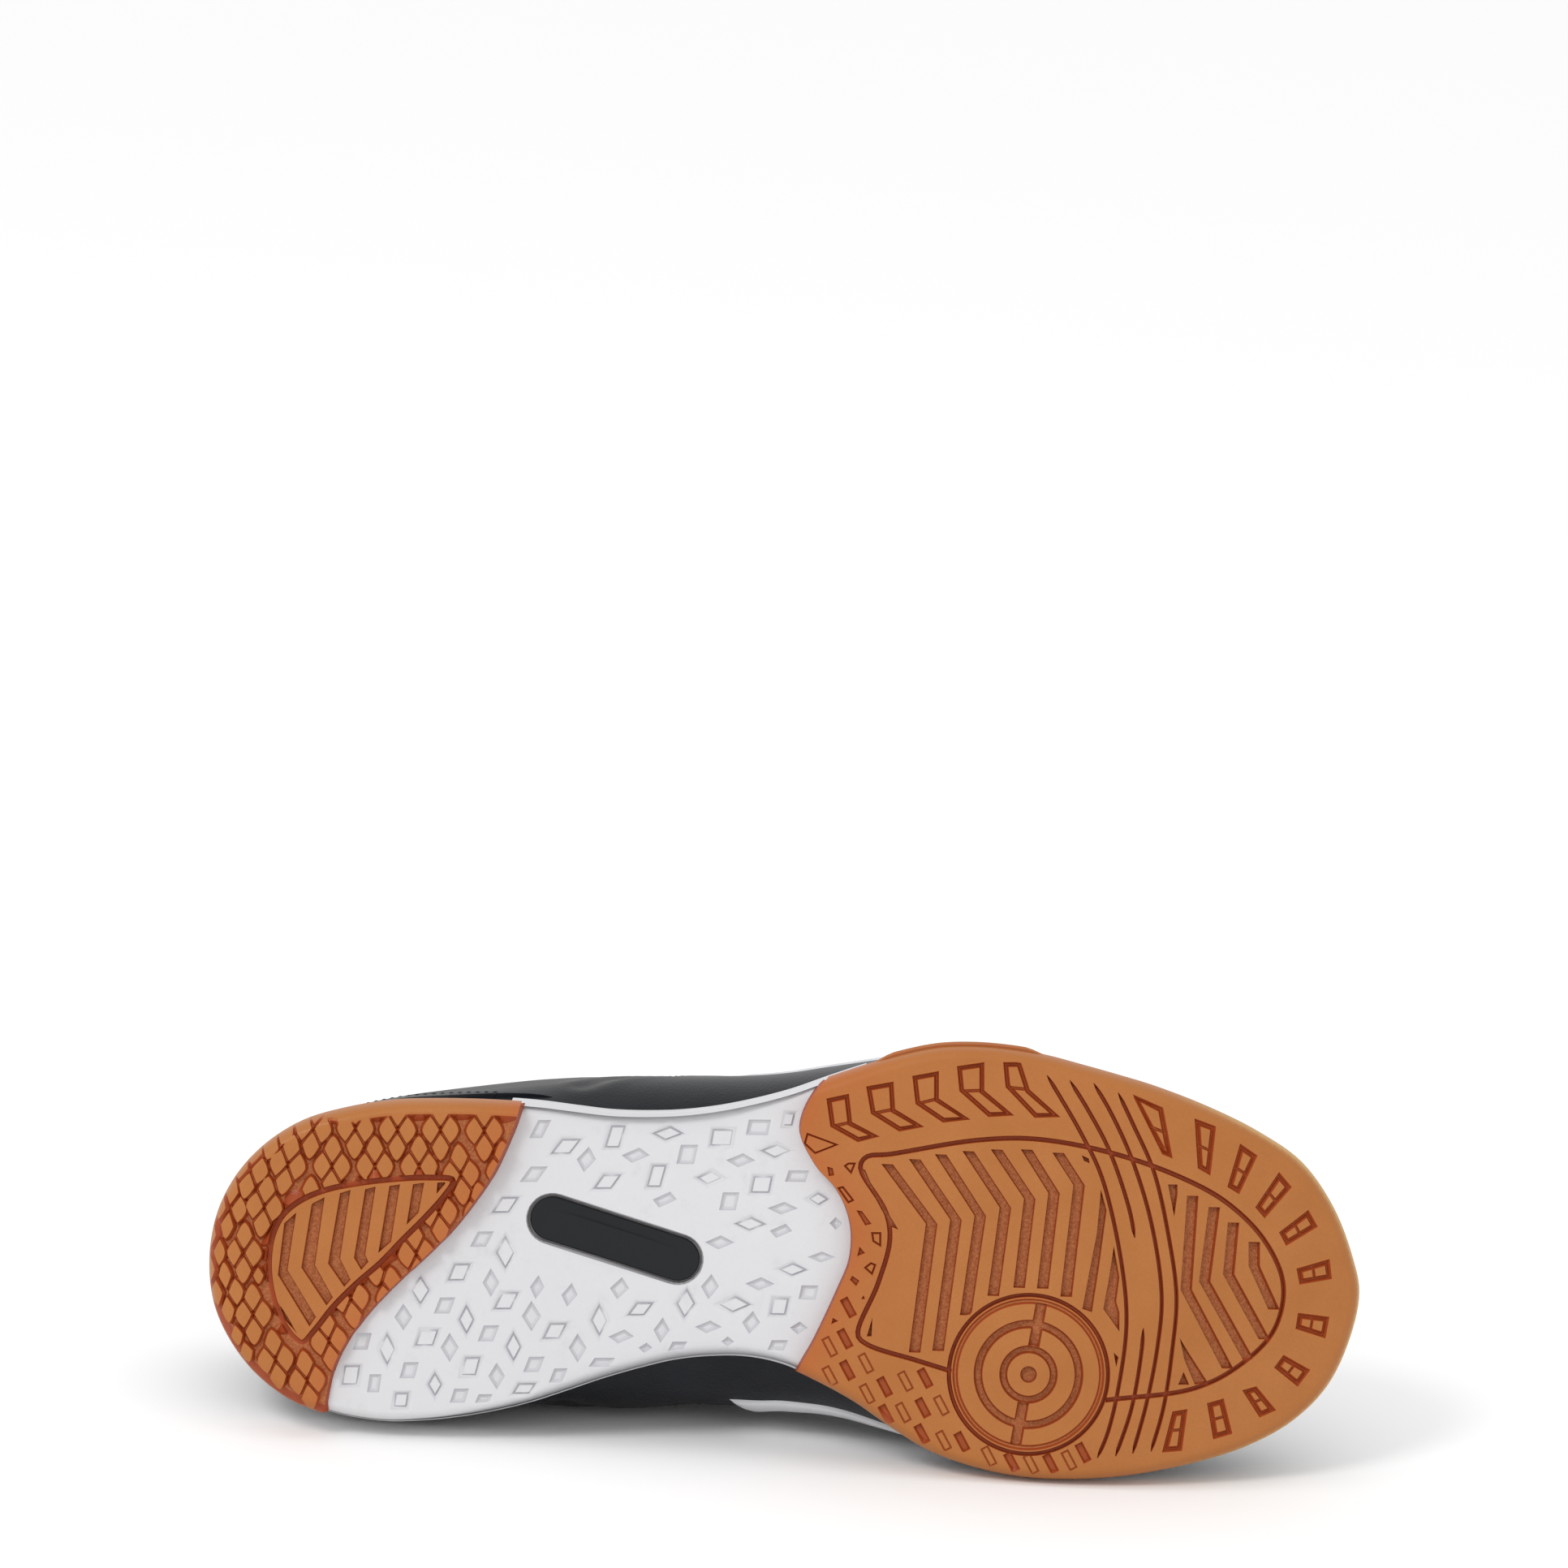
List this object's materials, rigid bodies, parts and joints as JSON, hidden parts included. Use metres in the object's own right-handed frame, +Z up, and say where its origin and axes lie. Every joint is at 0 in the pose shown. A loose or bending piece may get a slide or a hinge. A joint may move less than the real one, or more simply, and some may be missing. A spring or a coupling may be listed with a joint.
{
  "type": "indoor soccer shoe",
  "caption": "Right indoor soccer shoe lying on its medial side, gum tread with chevron, ring and lug patterns, white foam waist, black upper, laced.",
  "frame": {"origin": "bottom centre of the part's box, on the floor that the medial side lies on", "axes": "+X from the heel towards the toe, -Y out of the tread, +Z up, towards the shoe's lateral side"},
  "size_m": [0.2892, 0.1106, 0.1064],
  "materials": {
    "gum": "matt moulded gum rubber, slightly translucent at thin edges",
    "foam": "white moulded foam, matt",
    "inlay_rubber": "plain black matt rubber",
    "lining": "dark textile over foam",
    "upper_leather": "smooth black synthetic leather with a fine grain and a soft sheen",
    "band": "white smooth synthetic leather",
    "lace": "black flat woven lace"
  },
  "bodies": {
    "root": {"outsole_forefoot": "gum", "outsole_heel": "gum", "midsole": "foam", "shank_inlay": "inlay_rubber", "insole": "lining", "upper": "upper_leather", "tongue": "upper_leather", "heel_counter": "upper_leather", "eyestay": "upper_leather", "side_band_medial": "band", "side_band_lateral": "band", "lace": "lace"}
  },
  "joints": []
}
